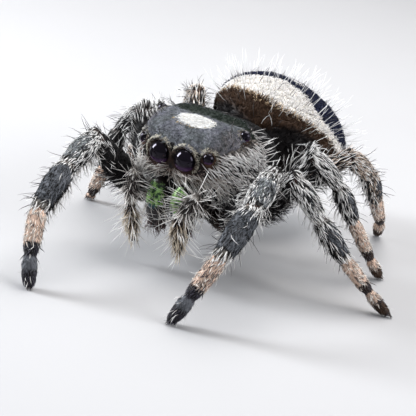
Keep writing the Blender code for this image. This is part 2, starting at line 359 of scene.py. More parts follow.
def ball(centre, radii, bands=10, turns=16):
    """The points and triangles of an ellipsoid."""
    ups = [pi * i / bands for i in range(bands + 1)]
    angles = [tau * j / turns for j in range(turns)]
    points = [(sin(up) * cos(turn), sin(up) * sin(turn), cos(up)) for up in ups for turn in angles]
    return np.array(points) * radii + centre, np.vstack(ring_faces(bands + 1, turns))


def joined(pieces):
    """One set of points and triangles from several."""
    starts = np.cumsum([0] + [len(points) for points, _ in pieces])
    return (np.vstack([points for points, _ in pieces]),
            np.vstack([faces + start for (_, faces), start in zip(pieces, starts)]))


def flesh():
    """The numbered parts that the skin covers."""
    return [(index, part) for index, part in enumerate(PARTS) if part.kind != "jaw"]


def rough_skin():
    """The flesh solids, the joints between them and what closes the body, remeshed as one."""
    pieces = [solid(part.name) for _, part in flesh()]
    pieces += [ball(centre, radius * JOINT_FILL) for centre, radius in JOINTS]
    pieces += [ball(centre, radius * EYE_FILL) for centre, radius in EYES.values()]
    pieces += [ball(from_head(centre), radii) for centre, radii in HEAD_FILL]
    abdomen = next(part for part in PARTS if part.name == "abdomen")
    waist = abdomen.start + abdomen.along * WAIST_ALONG - abdomen.up * WAIST_BELOW
    pieces.append(ball(waist, WAIST_RADII))
    for part in PARTS:
        if part.kind == "palp_femur":
            inward = from_head(PALP_ROOT) - part.start
            pieces += [ball(part.start + inward * share, PALP_ROOT_RADIUS)
                       for share in (0, 0.12, 0.24, 0.36)]
    return remeshed("skin", *joined(pieces), VOXEL)


def new_object(name, data):
    obj = bpy.data.objects.new(name, data)
    bpy.context.scene.collection.objects.link(obj)
    return obj


def remeshed(name, points, faces, voxel):
    """One closed surface round all that the given triangles enclose."""
    mesh = bpy.data.meshes.new("rough")
    mesh.from_pydata(points.tolist(), [], faces.tolist())
    obj = new_object("rough", mesh)
    remesh = obj.modifiers.new("remesh", "REMESH")
    remesh.mode = "VOXEL"
    remesh.voxel_size = voxel
    bpy.context.view_layer.update()
    made = bpy.data.meshes.new_from_object(obj.evaluated_get(bpy.context.evaluated_depsgraph_get()))
    bpy.data.objects.remove(obj)
    bpy.data.meshes.remove(mesh)
    made.name = name
    return made


def set_points(mesh, points):
    mesh.vertices.foreach_set("co", points.astype(np.float32).ravel())
    mesh.update()


def nearest_parts(points):
    """The index of the part whose solid lies nearest each point."""
    solids = [solid(part.name) for _, part in flesh()]
    owners = np.repeat([index for index, _ in flesh()], [len(faces) for _, faces in solids])
    tree = tree_of(*joined(solids))
    return np.array([owners[tree.find_nearest(point)[2]] for point in points.tolist()])


def smooth(rows, edges, rounds, weight=0.5):
    """Moves each point's row of values towards the mean of its neighbours' rows, by its weight."""
    a, b = edges.T
    size = len(rows)
    count = np.bincount(edges.ravel(), minlength=size)[:, None]
    weight = np.broadcast_to(weight, size)[:, None]
    for _ in range(rounds):
        total = np.stack([np.bincount(a, column[b], size) + np.bincount(b, column[a], size)
                          for column in rows.T], axis=1)
        rows = rows + (total / count - rows) * weight
    return rows


def skin_relief(spots):
    """How far the skin stands out from the drawn-in solids: rims round eyes, waists at joints."""
    relief = np.zeros(len(spots))
    for centre, radius in EYES.values():
        away = distance(spots.points, centre)
        relief -= (1 - step(away, radius * 1.02, radius * 1.20)) * radius * 0.24
        relief += bell(away, radius * 1.22, 0.04 + radius * 0.05) * radius * 0.10
    limb = (spots.leg > 0) | spots.on(*PALP_KINDS)
    from_end = np.minimum(spots.t, 1 - spots.t) * LENGTHS[spots.part]
    relief -= limb * bell(from_end, 0, 0.13) * 0.035
    relief += limb * np.sin(np.clip(spots.t, 0, 1) * pi) * 0.012
    under = np.abs(spots.around) > 2.2
    relief -= (spots.on("femur", "patella") & under) * 0.02
    relief += spots.on("abdomen") * ripple(spots.points, 0.9, 5) * 0.018
    relief += spots.on("carapace") * ripple(spots.points, 0.7, 9) * 0.010
    return relief


def build_skin():
    """The remeshed flesh, smoothed, drawn in by the depth of its coat and given its relief."""
    mesh = rough_skin()
    points, edges = points_of(mesh), edges_of(mesh)
    part = nearest_parts(points)
    near_eye = np.zeros(len(points))
    for centre, radius in EYES.values():
        near_eye = np.maximum(near_eye, 1 - step(distance(points, centre), radius * 1.2, radius * 1.7))
    body = np.isin(KINDS[part], ("carapace", "abdomen"))
    points = smooth(points, edges, SMOOTHING, 0.5 * (1 - 0.8 * near_eye))
    points = smooth(points, edges, BODY_SMOOTHING, 0.5 * body * (1 - near_eye))
    set_points(mesh, points)
    normals = normals_of(mesh)
    depth = np.array([COAT_DEPTH[kind] for kind in KINDS])[part]
    depth = smooth(depth[:, None], edges, DEPTH_SMOOTHING)[:, 0]
    relief = skin_relief(Spots(points, normals, part))
    points = points + normals * (relief - depth)[:, None]
    points[:, 2] = np.maximum(points[:, 2], 0)
    set_points(mesh, points)
    return mesh, Spots(points, normals_of(mesh), part)


# ---- Markings, the same on skin and coat ----

COLOURS = {
    "black": (0.010, 0.009, 0.010),
    "slate": (0.130, 0.136, 0.152),
    "umber": (0.055, 0.030, 0.018),
    "navy": (0.017, 0.021, 0.050),
    "russet": (0.070, 0.020, 0.012),
    "peach": (0.76, 0.54, 0.42),
    "pale": (0.48, 0.44, 0.39),
    "white": (0.88, 0.84, 0.76),
    "green": (0.010, 0.017, 0.012),
}
MARKS = [name for name in COLOURS if name != "black"]


def markings(spots):
    """How strongly each colour shows at each point: 0 not at all, 1 fully. Sums can pass 1."""
    marks = {name: np.zeros(len(spots)) for name in MARKS}
    mark_limbs(spots, marks)
    mark_head(spots, marks)
    mark_abdomen(spots, marks)
    return marks


def mark_limbs(spots, marks):
    t = spots.t + 0.02 * ripple(spots.points, 0.25, 31)
    size = np.abs(spots.around)
    back = 1 - step(size, 1.2, 2.2)
    front_leg = spots.leg == 1
    femur, patella, tibia = (spots.on(kind) for kind in ("femur", "patella", "tibia"))
    metatarsus, tarsus = spots.on("metatarsus"), spots.on("tarsus")
    patch = window(t, 0.26, 0.88, 0.05) * (1 - step(size, 0.80, 1.15))
    marks["slate"] += patella * patch * np.where(front_leg, 0.9, 0.35)
    marks["pale"] += patella * (0.22 - 0.2 * patch) * back
    top = 1 - step(size, np.where(front_leg, 1.5, 0.9), np.where(front_leg, 2.2, 1.4))
    marks["slate"] += tibia * window(t, 0.12, 0.86, 0.04) * top * np.where(front_leg, 1, 0.75)
    marks["pale"] += tibia * (1 - window(t, 0.10, 0.90, 0.04)) * 0.4 * back
    marks["peach"] += metatarsus * (1 - step(t, 0.68, 0.78)) * (0.75 + 0.25 * back)
    marks["peach"] += tarsus * (1 - step(t, 0.32, 0.46)) * np.where(front_leg, 0.0, 0.8)
    marks["umber"] += tarsus * (~front_leg) * step(t, 0.4, 0.55) * (1 - step(t, 0.7, 0.9)) * 0.8
    marks["slate"] += tarsus * window(t, 0.0, 0.42, 0.08) * np.where(front_leg, 0.8, 0.2)
    marks["umber"] += (metatarsus | tarsus) * np.where(front_leg, 0.08, 0.45)
    joint = np.minimum(t, 1 - t) * LENGTHS[spots.part]
    membrane = bell(joint, 0, 0.07) * (femur | patella | tibia)
    marks["russet"] += membrane * 0.55
    under = step(size, 2.3, 2.9) * (femur | patella | spots.on("under"))
    marks["russet"] += under * 0.15
    palp = spots.on(*PALP_KINDS)
    marks["umber"] += palp * 0.3
    marks["pale"] += palp * 0.12 + spots.on("palp_tibia") * 0.5 * (bell(t, 0, 0.15) + bell(t, 1, 0.2))


def top_of_head(spots):
    """1 on the flat top of the head, behind the line of eyes."""
    x, y, z = spots.head.T
    edge = CROWN_EDGE + 0.20 * step(y, -1.8, -1.0) + 0.04 * ripple(spots.points, 0.4, 44)
    rear = -0.10 - 0.32 * step(np.abs(x), 0.9, 1.6)
    return (spots.on("carapace") * step(z, edge - 0.04, edge + 0.04)
            * (1 - step(y, rear - 0.08, rear + 0.08)))


def dark_rear(spots):
    """1 on the dark, faintly green strip across the back of the crown."""
    limit = -1.02 + 0.36 * step(np.abs(spots.x), 0.85, 1.35) + 0.05 * ripple(spots.points, 0.3, 45)
    return top_of_head(spots) * step(spots.y, limit - 0.07, limit + 0.07)


def crown(spots):
    """1 on the blue-grey scales of the crown."""
    return top_of_head(spots) * (1 - dark_rear(spots))


def head_spot(spots):
    x, y, z = spots.head.T
    wobble = 0.07 * ripple(spots.points, 0.12, 47)
    reach = (np.abs((x - SPOT_PLACE[0]) / SPOT_HALF[0]) ** 2.6
             + np.abs((y - SPOT_PLACE[1]) / SPOT_HALF[1]) ** 2.6) ** (1 / 2.6)
    return spots.on("carapace") * (z > 2) * (1 - step(reach + wobble, 0.93, 1.03))


def cheek_rim(spots):
    """How far a point lies behind the sharp rear edge of the pale cheek."""
    return spots.y + 0.12 + 0.32 * (spots.z - 1.57)


def cheek(spots):
    """1 on the sides of the head, from the crown's edge to the lower rim."""
    side = np.clip(step(np.abs(spots.x), 0.95, 1.35) + (spots.y > -1.6), 0, 1)
    before_rim = 1 - step(cheek_rim(spots), -0.05, 0.03)
    return spots.on("carapace") * side * before_rim * (1 - top_of_head(spots))


def mark_head(spots, marks):
    x, y, z = spots.head.T
    carapace = spots.on("carapace")
    top, spot = crown(spots), head_spot(spots)
    marks["slate"] += top * (1 - spot)
    marks["peach"] += top * step(np.abs(x), 0.9, 1.4) * (1 - step(y, -1.3, -0.9)) * 0.25
    marks["white"] += spot
    marks["green"] += dark_rear(spots) * (1 - spot)
    side = cheek(spots)
    marks["umber"] += side * window(z, 1.6, 2.5, 0.2) * 0.6
    marks["pale"] += side * window(z, 1.75, 2.6, 0.2) * 0.45
    face = carapace * (1 - top) * (1 - step(y, -2.2, -1.8)) * window(z, 1.0, 2.3, 0.15)
    marks["russet"] += face * 0.14
    marks["umber"] += face * 0.20
    ridge = bell(z, 1.18, 0.16) * carapace * (1 - step(y, -2.0, -1.5))
    marks["peach"] += ridge * 0.42
    marks["russet"] += ridge * 0.15
    for centre, radius in EYES.values():
        away = distance(spots.points, centre)
        ring = 1 - step(away, radius * 1.1 + 0.06, radius * 1.1 + 0.15)
        above = step(z - to_head(centre)[2], -0.4 * radius, 0.4 * radius)
        for mark in ("slate", "pale", "peach"):
            marks[mark] *= 1 - ring
        marks["peach"] += ring * above * 0.25
        marks["umber"] += ring * 0.2
        marks["russet"] += ring * (1 - above) * 0.15


def abdomen_turn(spots):
    """The angle from the middle line of the abdomen's markings, without its sign."""
    return np.abs((spots.around - BAND_MIDDLE + pi) % tau - pi)


def band_place(spots):
    """How far a point lies across the pale band: 0 on its front edge, 1 on its rear edge."""
    turn = abdomen_turn(spots)
    front = 0.106 + 0.17 * (turn / radians(78)) ** 3
    width = 0.30 - 0.17 * step(turn, radians(5), radians(80))
    return (spots.t - front) / width


def abdomen_band(spots):
    """1 in the pale band that runs over the front of the abdomen and down both its sides."""
    fringe = 0.06 * ripple(spots.points, 0.14, 53)
    end = 1 - step(abdomen_turn(spots), 1.70, 1.90)
    return spots.on("abdomen") * window(band_place(spots) + fringe, 0, 1, 0.03) * end


def abdomen_spots(spots):
    """The middle spot and the two pairs of bars on the back."""
    size = abdomen_turn(spots)
    middle_spot = np.hypot((spots.t - 0.55) / 0.055, size / (0.22 + 0.6 * (spots.t - 0.5)))
    found = 1 - step(middle_spot, 0.85, 1.1)
    for place, turn in ((0.70, 0.36), (0.81, 0.42)):
        bar = np.hypot((spots.t - place - 0.1 * (size - turn)) / 0.022, (size - turn) / 0.19)
        found = np.maximum(found, 1 - step(bar, 0.85, 1.1))
    return spots.on("abdomen") * found


def abdomen_white(spots):
    return np.maximum(abdomen_band(spots), abdomen_spots(spots))


def flank_flecks(spots):
    """1 on a few small pale flecks, each given by its share along the abdomen and its angle."""
    size = np.abs(spots.around)
    found = np.zeros(len(spots))
    for place, turn in ((0.145, 1.27), (0.175, 1.36), (0.21, 1.42), (0.19, 1.23)):
        fleck = np.hypot((spots.t - place) / 0.010, (size - turn) / 0.035)
        found = np.maximum(found, 1 - step(fleck, 0.7, 1.3))
    return spots.on("abdomen") * found


def mark_abdomen(spots, marks):
    abdomen = spots.on("abdomen")
    band, back_spots = abdomen_band(spots), abdomen_spots(spots)
    place = band_place(spots)
    size = abdomen_turn(spots)
    upper = 1 - step(size, 1.7, 2.3)
    marks["white"] += np.maximum(band, back_spots)
    warm = 0.2 + 0.8 * step(place, -1.5, -0.3)
    marks["umber"] += abdomen * (1 - step(place, 0, 0.15)) * warm * (1 - band)
    marks["umber"] += abdomen * step(size, 1.9, 2.5) * 0.35
    marks["navy"] += abdomen * step(place, 0.9, 1.1) * upper * (1 - back_spots)
    marks["pale"] += flank_flecks(spots) * 0.5
    marks["umber"] += spots.on("under", "spinnerets") * 0.5


# ---- Writing meshes ----

def new_mesh(name, points, faces):
    """A mesh of triangles, from arrays of points in millimetres and of corners."""
    mesh = bpy.data.meshes.new(name)
    mesh.vertices.add(len(points))
    mesh.vertices.foreach_set("co", (points * MM).astype(np.float32).ravel())
    mesh.loops.add(len(faces) * 3)
    mesh.loops.foreach_set("vertex_index", faces.astype(np.int32).ravel())
    mesh.polygons.add(len(faces))
    mesh.polygons.foreach_set("loop_start", np.arange(0, len(faces) * 3, 3, dtype=np.int32))
    mesh.update(calc_edges=True)
    mesh.shade_smooth()
    return mesh


def add_piece(name, mesh, material, replaced=()):
    obj = new_object(name, mesh)
    mesh.materials.clear()
    mesh.materials.append(material)
    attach(obj, "root")
    if replaced:
        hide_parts(*replaced)


def add_values(mesh, name, values):
    attribute = mesh.attributes.new(name, "FLOAT", "POINT")
    attribute.data.foreach_set("value", values.astype(np.float32))


def add_map(mesh, places):
    layer = mesh.uv_layers.new(name="OFBake")
    layer.data.foreach_set("uv", places.astype(np.float32).ravel())


def map_places(part, t, around, used):
    """Each part is a tile of the map: angle around it across, share along it up."""
    columns = ceil(sqrt(len(used)))
    rank = np.searchsorted(used, part)
    corner = np.stack([rank % columns, rank // columns], -1)
    inside = np.stack([(around / tau + 0.5) % 1.0, np.clip(t, -0.05, 1.05) / 1.1 + 0.05], -1)
    return (corner + 0.03 + inside * 0.94) / columns


# ---- Materials ----

class Material:
    """A Principled material whose nodes are added by short calls."""

    def __init__(self, name, **values):
        self.material = bpy.data.materials.new(name)
        self.material.use_nodes = True
        self.tree = self.material.node_tree
        self.shader = self.tree.nodes["Principled BSDF"]
        self.feed(self.shader, **values)
        place = self.node("TexCoord").outputs["Object"]
        self.place = self.node("Mapping", Scale=(1 / MM,) * 3, Vector=place).outputs["Vector"]

    def put(self, socket, value):
        """Gives a socket a number, a colour or another node's output."""
        if isinstance(value, bpy.types.NodeSocket):
            self.tree.links.new(value, socket)
        else:
            socket.default_value = (*value, 1) if socket.type == "RGBA" else value

    def feed(self, node, **values):
        for key, value in values.items():
            self.put(node.inputs[key.replace("_", " ")], value)

    def node(self, kind, **values):
        node = self.tree.nodes.new(f"ShaderNode{kind}")
        self.feed(node, **values)
        return node

    def value(self, name):
        node = self.node("Attribute")
        node.attribute_name = name
        return node.outputs["Fac"]

    def noise(self, scale, detail=3.0, roughness=0.6):
        return self.node("TexNoise", Scale=scale, Detail=detail, Roughness=roughness,
                         Vector=self.place).outputs["Fac"]

    def cells(self, scale):
        return self.node("TexVoronoi", Scale=scale, Vector=self.place).outputs["Distance"]

    def sums(self, operation, a, b):
        node = self.node("Math")
        node.operation = operation
        for socket, value in zip(node.inputs, (a, b)):
            self.put(socket, value)
        return node.outputs["Value"]

    def spread(self, source, low, high, to_low=0.0, to_high=1.0):
        node = self.node("MapRange", From_Min=low, From_Max=high, To_Min=to_low, To_Max=to_high,
                         Value=source)
        node.interpolation_type = "SMOOTHSTEP"
        return node.outputs["Result"]

    def mix(self, share, a, b, blend="MIX"):
        """One colour over another. Sockets 6 and 7 are the node's two colours, output 2 the result."""
        node = self.node("Mix")
        node.data_type = "RGBA"
        node.blend_type = blend
        for place, value in (("Factor", share), (6, a), (7, b)):
            self.put(node.inputs[place], value)
        return node.outputs[2]

    def marked(self, base, names, ragged=0.35):
        """The base colour with each marking laid over it, its edges broken up by fine noise."""
        rough = self.sums("MULTIPLY", self.sums("SUBTRACT", self.noise(9), 0.5), ragged)
        colour = self.mix(self.noise(3), base, self.mix(1.0, base, (0.6,) * 3, "MULTIPLY"))
        for name in names:
            share = self.spread(self.sums("ADD", self.value(name), rough), 0.12, 0.88)
            full = COLOURS[name]
            shade = self.mix(self.noise(14, 4), tuple(c * 0.72 for c in full), full)
            colour = self.mix(share, colour, shade)
        return colour

    def bump(self, height, depth, strength):
        node = self.node("Bump", Strength=strength, Distance=depth * MM, Height=height)
        self.feed(self.shader, Normal=node.outputs["Normal"])

    def colour(self, source):
        self.feed(self.shader, Base_Color=source)

    def roughness(self, source):
        self.feed(self.shader, Roughness=source)


def skin_material():
    made = Material("spider_skin", Specular_IOR_Level=0.15)
    made.colour(made.marked(COLOURS["black"], MARKS))
    hairs = made.sums("ADD", made.cells(26), made.sums("MULTIPLY", made.noise(30, 4), 0.6))
    made.bump(hairs, 0.018, 0.7)
    made.roughness(made.spread(made.noise(8), 0.3, 0.7, 0.5, 0.75))
    return made.material


# ---- Hair ----

class Surface:
    """A triangle surface that hair can grow from."""

    def __init__(self, mesh, spots):
        self.spots = spots
        self.faces = triangles_of(mesh)
        a, b, c = (spots.points[self.faces[:, i]] for i in range(3))
        self.areas = np.linalg.norm(np.cross(b - a, c - a), axis=1) / 2
        self.centres = self.at(np.arange(len(self.faces)), np.full((len(self.faces), 3), 1 / 3))

    def at(self, face, weights):
        corners = self.faces[face]
        points = np.einsum("ij,ijk->ik", weights, self.spots.points[corners])
        normals = unit(np.einsum("ij,ijk->ik", weights, self.spots.normals[corners]))
        return Spots(points, normals, self.spots.part[corners[:, 0]])


def scatter(density, surface):
    """Hair roots. density gives hairs per square millimetre at each of some Spots."""
    wanted = rng.poisson(np.maximum(density(surface.centres), 0) * surface.areas)
    face = np.repeat(np.arange(len(surface.faces)), wanted)
    return surface.at(face, rng.dirichlet((1, 1, 1), len(face)))


def clear_of_eyes(roots, margin):
    """Drops the roots within so many radii of an eye's centre."""
    keep = np.ones(len(roots), bool)
    for centre, radius in EYES.values():
        keep &= distance(roots.points, centre) > radius * margin
    return roots.pick(keep)


def spikes(roots, length, width, rise, flow, rings, spread=0.3, bend=0.7, curl=0.12,
           droop=(0, 0, 0), flat=0.6, varied=0.3, sink=0.008):
    """The points of a curved spike from each root: three for each ring, and its tip.

    rise is the angle off the skin at the root, bend how far the hair lies back down by its tip.
    """
    count, normal = len(roots), roots.normals
    length = length * (1 + varied * rng.uniform(-1, 1, count))
    width = width * rng.uniform(0.75, 1.2, count)
    rise = rise + rng.normal(0, 1, count) * np.minimum(0.16, rise * 0.3)
    heading = unit(flow - normal * dots(flow, normal)[:, None])
    turn = rng.normal(0, 1, count) * spread
    heading = heading * np.cos(turn)[:, None] + np.cross(normal, heading) * np.sin(turn)[:, None]
    start = heading * np.cos(rise)[:, None] + normal * np.sin(rise)[:, None]
    back = -normal * (np.sin(rise) * bend)[:, None]
    back = back + np.cross(normal, heading) * rng.normal(0, curl, count)[:, None] + droop
    base = roots.points - normal * sink
    points = np.empty((count, len(rings) * 3 + 1, 3))
    for i, s in enumerate(rings):
        centre = base + (start * s + back * s * s) * length[:, None]
        tangent = unit(start + back * 2 * s)
        side = unit(np.cross(tangent, normal))
        other = np.cross(side, tangent)
        thick = width * (1 - s * s) ** 0.6
        for j in range(3):
            angle = tau * j / 3 + pi / 2
            points[:, i * 3 + j] = (centre + side * (thick * cos(angle))[:, None]
                                    + other * (thick * flat * sin(angle))[:, None])
    points[:, -1] = base + (start + back) * length[:, None]
    points[..., 2] = np.maximum(points[..., 2], LEAST_HEIGHT)
    return points


def spike_faces(ring_count):
    """The triangles of one spike: its foot, the walls between its rings, and its tip."""
    faces = [(0, 2, 1)]
    for i in range(ring_count - 1):
        for j in range(3):
            a, b = i * 3 + j, i * 3 + (j + 1) % 3
            faces += [(a, b, b + 3), (a, b + 3, a + 3)]
    last = (ring_count - 1) * 3
    faces += [(last + j, last + (j + 1) % 3, last + 3) for j in range(3)]
    return np.array(faces)


class Coat:
    """A kind of hair: its material, its slot and the markings that it shows.

    It goes from its root colour to its tip colour, each hair a little lighter or darker. patches is
    a second tip colour, mixed in over wide, soft patches. mottle darkens small blotches.
    """

    def __init__(self, name, slot, root, tip, marks=(), rough=0.55, contrast=0.5, specular=0.4,
                 patches=None, mottle=0.0):
        made = Material(name, Specular_IOR_Level=specular)
        if patches:
            tip = made.mix(made.spread(made.noise(1.9, 4), 0.38, 0.62), tip, patches)
        over, low, high = (made.marked(tip, marks, 0.2), -0.8, 0.5) if marks else (tip, 0.0, 0.8)
        colour = made.mix(made.spread(made.value("along"), low, high), root, over)
        tone = made.sums("ADD", made.value("tone"), made.sums("MULTIPLY", made.noise(2.5), 0.3))
        dull = made.mix(1.0, colour, (1 - contrast,) * 3, "MULTIPLY")
        colour = made.mix(made.spread(tone, 0.1, 1.0), dull, colour)
        if mottle:
            shade = made.mix(made.spread(made.noise(6.5, 5), 0.38, 0.60), (1 - mottle,) * 3, (1, 1, 1))
            colour = made.mix(1.0, colour, shade, "MULTIPLY")
        made.colour(colour)
        made.roughness(made.spread(made.value("tone"), 0, 1, rough - 0.1, rough + 0.12))
        self.material, self.slot, self.marks = made.material, slot, marks

    def grow(self, name, density, length, width, rise, lie=None, clear=0, surface=None,
             rings=(0.0, 0.5), **shape):
        """Scatters roots, at least clear radii from each eye's centre, and adds a spike for each.

        length and width are in millimetres and rise in radians. lie is a function of the roots that
        gives the hair's direction, and length can be one too. shape goes on to spikes().
        """
        roots = scatter(density, surface or SKIN_SURFACE)
        if clear:
            roots = clear_of_eyes(roots, clear)
        flow = lie(roots) if lie else roots.along
        length = length(roots) if callable(length) else length
        self.write(name, roots, spikes(roots, length, width, rise, flow, rings, **shape), rings)

    def write(self, name, roots, points, rings):
        """Adds the spikes as one piece, or as several of at most MOST_TRIANGLES."""
        faces = spike_faces(len(rings))
        count, size = points.shape[:2]
        groups = np.array_split(np.arange(count), ceil(count / (MOST_TRIANGLES // len(faces))))
        tone = rng.uniform(0, 1, count)
        along = np.append(np.repeat(rings, 3), 1.0)
        across = np.append(np.tile((-0.5, 0.0, 0.5), len(rings)), 0.0)
        local = np.stack([across * PATCH * 0.8, along * PATCH], 1)[faces.ravel()]
        places = map_places(roots.part, roots.t, roots.around, np.unique(roots.part))
        marks = markings(roots) if self.marks else {}
        for number, group in enumerate(groups):
            piece = name if len(groups) == 1 else f"{name}_{number + 1}"
            corners = (faces[None] + (np.arange(len(group)) * size)[:, None, None]).reshape(-1, 3)
            mesh = new_mesh(piece, points[group].reshape(-1, 3), corners)
            add_values(mesh, "tone", np.repeat(tone[group], size))
            add_values(mesh, "along", np.tile(along, len(group)))
            for mark in self.marks:
                add_values(mesh, mark, np.repeat(marks[mark][group], size))
            add_map(mesh, (places[group][:, None] + local[None]).reshape(-1, 2))
            add_piece(piece, mesh, self.material)
        print(f"{name}: {count} hairs, {count * len(faces)} triangles")


# ---- Build ----

SKIN_MESH, SKIN = build_skin()
SKIN_SURFACE = Surface(SKIN_MESH, SKIN)


def finish_skin(mesh):
    """Writes the skin's points in metres, its markings and its map, and adds it as a piece."""
    set_points(mesh, SKIN.points * MM)
    for name, values in markings(SKIN).items():
        add_values(mesh, name, np.clip(values, 0, 1))
    corners = read(mesh.loops, "vertex_index", kind=int)[:, 0]
    starts = read(mesh.polygons, "loop_start", kind=int)[:, 0]
    sizes = np.diff(np.append(starts, len(corners)))
    first = np.repeat(corners[starts], sizes)
    part = SKIN.part[first]
    local = Spots(SKIN.points[corners], SKIN.normals[corners], part)
    lead = Spots(SKIN.points[first], SKIN.normals[first], part).around
    turn = lead + (local.around - lead + pi) % tau - pi
    turn = np.clip(turn, -pi + 1e-4, pi - 1e-4)
    add_map(mesh, map_places(part, local.t, turn, np.arange(len(PARTS))))
    mesh.shade_smooth()
    add_piece("skin", mesh, skin_material(), [part.name for _, part in flesh()])


finish_skin(SKIN_MESH)


# ---- Eyes, jaws, fangs, claws ----

def weld_poles(points, faces, turns):
    """Makes each pole of a ball one point, and drops the triangles that this flattens to a line."""
    last = len(points) - turns
    index = np.arange(len(points))
    index[:turns], index[last:] = 0, last
    a, b, c = index[faces].T
    faces = index[faces][(a != b) & (b != c) & (c != a)]
    used, again = np.unique(faces, return_inverse=True)
    return points[used], again.reshape(faces.shape)


def lens(name, centre, radius, material):
    """A finely meshed ball, with a value that is 1 in a crescent along its lower front edge, where a
    reflection is painted.
    """
    points, faces = weld_poles(*ball(centre, radius, *LENS_GRID), LENS_GRID[1])
    mesh = new_mesh(name, points, faces)
    away = (to_head(points) - to_head(centre)) / radius
    add_values(mesh, "painted_reflection_crescent", step(-away[:, 2], 0.20, 0.62) * step(-away[:, 1], -0.1, 0.3))
    add_piece(name, mesh, material, [name])


def eye_material():
    """Black glass, with a violet reflection painted in a crescent along the lens's lower edge."""
    made = Material("eye_lens", Roughness=0.05, Specular_IOR_Level=0.24, Specular_Tint=(0.86, 0.78, 1.0))
    depth = made.noise(1.4, 2)
    black = made.mix(made.spread(depth, 0.35, 0.7), (0.0015, 0.001, 0.0015), (0.003, 0.002, 0.004))
    # Painted reflection: violet in the lower crescent, standing for the surroundings mirrored in the lens
    painted_reflection = made.mix(made.noise(4), (0.030, 0.012, 0.040), (0.085, 0.040, 0.105))
    made.colour(made.mix(made.value("painted_reflection_crescent"), black, painted_reflection))
    return made.material


LENS_MATERIAL = eye_material()
for eye_name, place_and_radius in EYES.items():
    lens(eye_name, *place_and_radius, LENS_MATERIAL)


def jaw_material():
    """Green metal shine on the jaw's face, blue lower down, black on its sides and foot."""
    made = Material("jaw_shell", Metallic=0.5, Roughness=0.4, Coat_Weight=0.15, Coat_Roughness=0.3)
    green = made.mix(made.spread(made.noise(8, 5), 0.40, 0.56), (0.008, 0.035, 0.016), (0.30, 0.52, 0.16))
    cool = made.mix(made.spread(made.noise(5, 4), 0.4, 0.6), (0.008, 0.010, 0.016), (0.04, 0.16, 0.22))
    colour = made.mix(made.spread(made.value("low"), 0.42, 0.56), green, cool)
    ragged = made.sums("ADD", made.value("edge"), made.sums("MULTIPLY", made.noise(5, 5), 1.0))
    made.colour(made.mix(made.spread(ragged, 0.72, 0.92), colour, (0.012, 0.008, 0.008)))
    made.bump(made.sums("ADD", made.noise(9, 4), made.cells(12)), 0.02, 0.7)
    made.roughness(made.spread(made.noise(7), 0.3, 0.7, 0.28, 0.5))
    return made.material


def build_jaws():
    """Both jaws, each with the surface that its hair grows from."""
    material = jaw_material()
    surfaces = []
    for side in SIDES:
        node = f"chelicera_{side}"
        mesh = remeshed(node, *solid(node), JAW_VOXEL)
        points = smooth(points_of(mesh), edges_of(mesh), JAW_SMOOTHING)
        set_points(mesh, points)
        points = points - normals_of(mesh) * JAW_DEPTH
        index = next(i for i, part in enumerate(PARTS) if part.name == node)
        spots = Spots(points, normals_of(mesh), np.full(len(points), index))
        surfaces.append(Surface(mesh, spots))
        centre, size = middle(node), extent(node)
        away = (to_head(points) - to_head(centre)) / (size / 2)
        set_points(mesh, points * MM)
        face = np.hypot(away[:, 0] / 1.05, (away[:, 2] - 0.34) / 0.58)
        add_values(mesh, "low", np.clip(0.5 - away[:, 2] * 0.8, 0, 1))
        add_values(mesh, "edge", np.clip(face * 0.5 + step(away[:, 1], -0.5, 0.1) * 0.6 - 0.1, 0, 1))
        mesh.shade_smooth()
        add_piece(node, mesh, material, [node])
    return surfaces


def horn(name, start, end, bow, radius, material, rings=14, turns=14):
    """A closed, curved, tapering horn from start to end, bowed sideways by a vector."""
    share = np.linspace(0, 1, rings)
    centres = start + np.outer(share, end - start) + np.outer(4 * share * (1 - share), bow)
    tangents = unit(np.gradient(centres, axis=0))
    side = unit(np.cross(tangents, unit(bow + 1e-6)))
    other = np.cross(side, tangents)
    thick = radius * np.sqrt(1 - 0.97 * share ** 1.5)
    turn = tau * np.arange(turns) / turns
    points = centres[:, None] + thick[:, None, None] * (
        side[:, None] * np.cos(turn)[None, :, None] + other[:, None] * np.sin(turn)[None, :, None])
    points = np.vstack([points.reshape(-1, 3), centres[:1], centres[-1:] + tangents[-1] * radius * 0.2])
    first, last = np.arange(turns), np.arange(turns) + (rings - 1) * turns
    faces = np.vstack([
        *ring_faces(rings, turns),
        np.stack([first, np.roll(first, -1), np.full(turns, rings * turns)], 1),
        np.stack([np.roll(last, -1), last, np.full(turns, rings * turns + 1)], 1)])
    add_piece(name, new_mesh(name, points, outward(points, faces)), material)


def outward(points, faces):
    """The faces turned so that they enclose a positive volume."""
    a, b, c = (points[faces[:, i]] for i in range(3))
    return faces if dots(a, np.cross(b, c)).sum() > 0 else faces[:, ::-1]


def build_horns():
    made = Material("horn", Roughness=0.22, Specular_IOR_Level=0.6, Coat_Weight=0.4)
    made.colour(made.mix(made.noise(6), (0.012, 0.006, 0.005), (0.05, 0.016, 0.010)))
    for side in SIDES:
        centre, size = middle(f"chelicera_{side}"), extent(f"chelicera_{side}")
        inward = np.array((1 if centre[0] < BETWEEN_EYES[0] else -1, 0, 0))
        root = centre + np.array((0, 0.12, -size[2] * 0.44)) - inward * size[0] * 0.12
        tip = root + inward * 0.26 + np.array((0, 0.30, -0.02))
        horn(f"fang_{side}", root, tip, np.array((0, 0.02, -0.10)), FANG_RADIUS, made.material)
    for part in PARTS:
        if part.kind != "tarsus":
            continue
        foot = part.start + part.along * part.length
        ahead = unit(part.along * (1, 1, 0))
        for number, sign in enumerate((-1, 1)):
            lean = np.cross(ahead, (0, 0, 1)) * sign
            root = foot - ahead * 0.02 + lean * 0.03 + np.array((0, 0, 0.10))
            tip = foot + ahead * 0.15 + lean * 0.05 + np.array((0, 0, 0.008))
            name = f"claw_{part.name.removesuffix('_tarsus')}_{number + 1}"
            horn(name, root, tip, np.array((0, 0, 0.04)), CLAW_RADIUS, made.material, *CLAW_GRID)


JAWS = build_jaws()
build_horns()


# ---- Coat ----

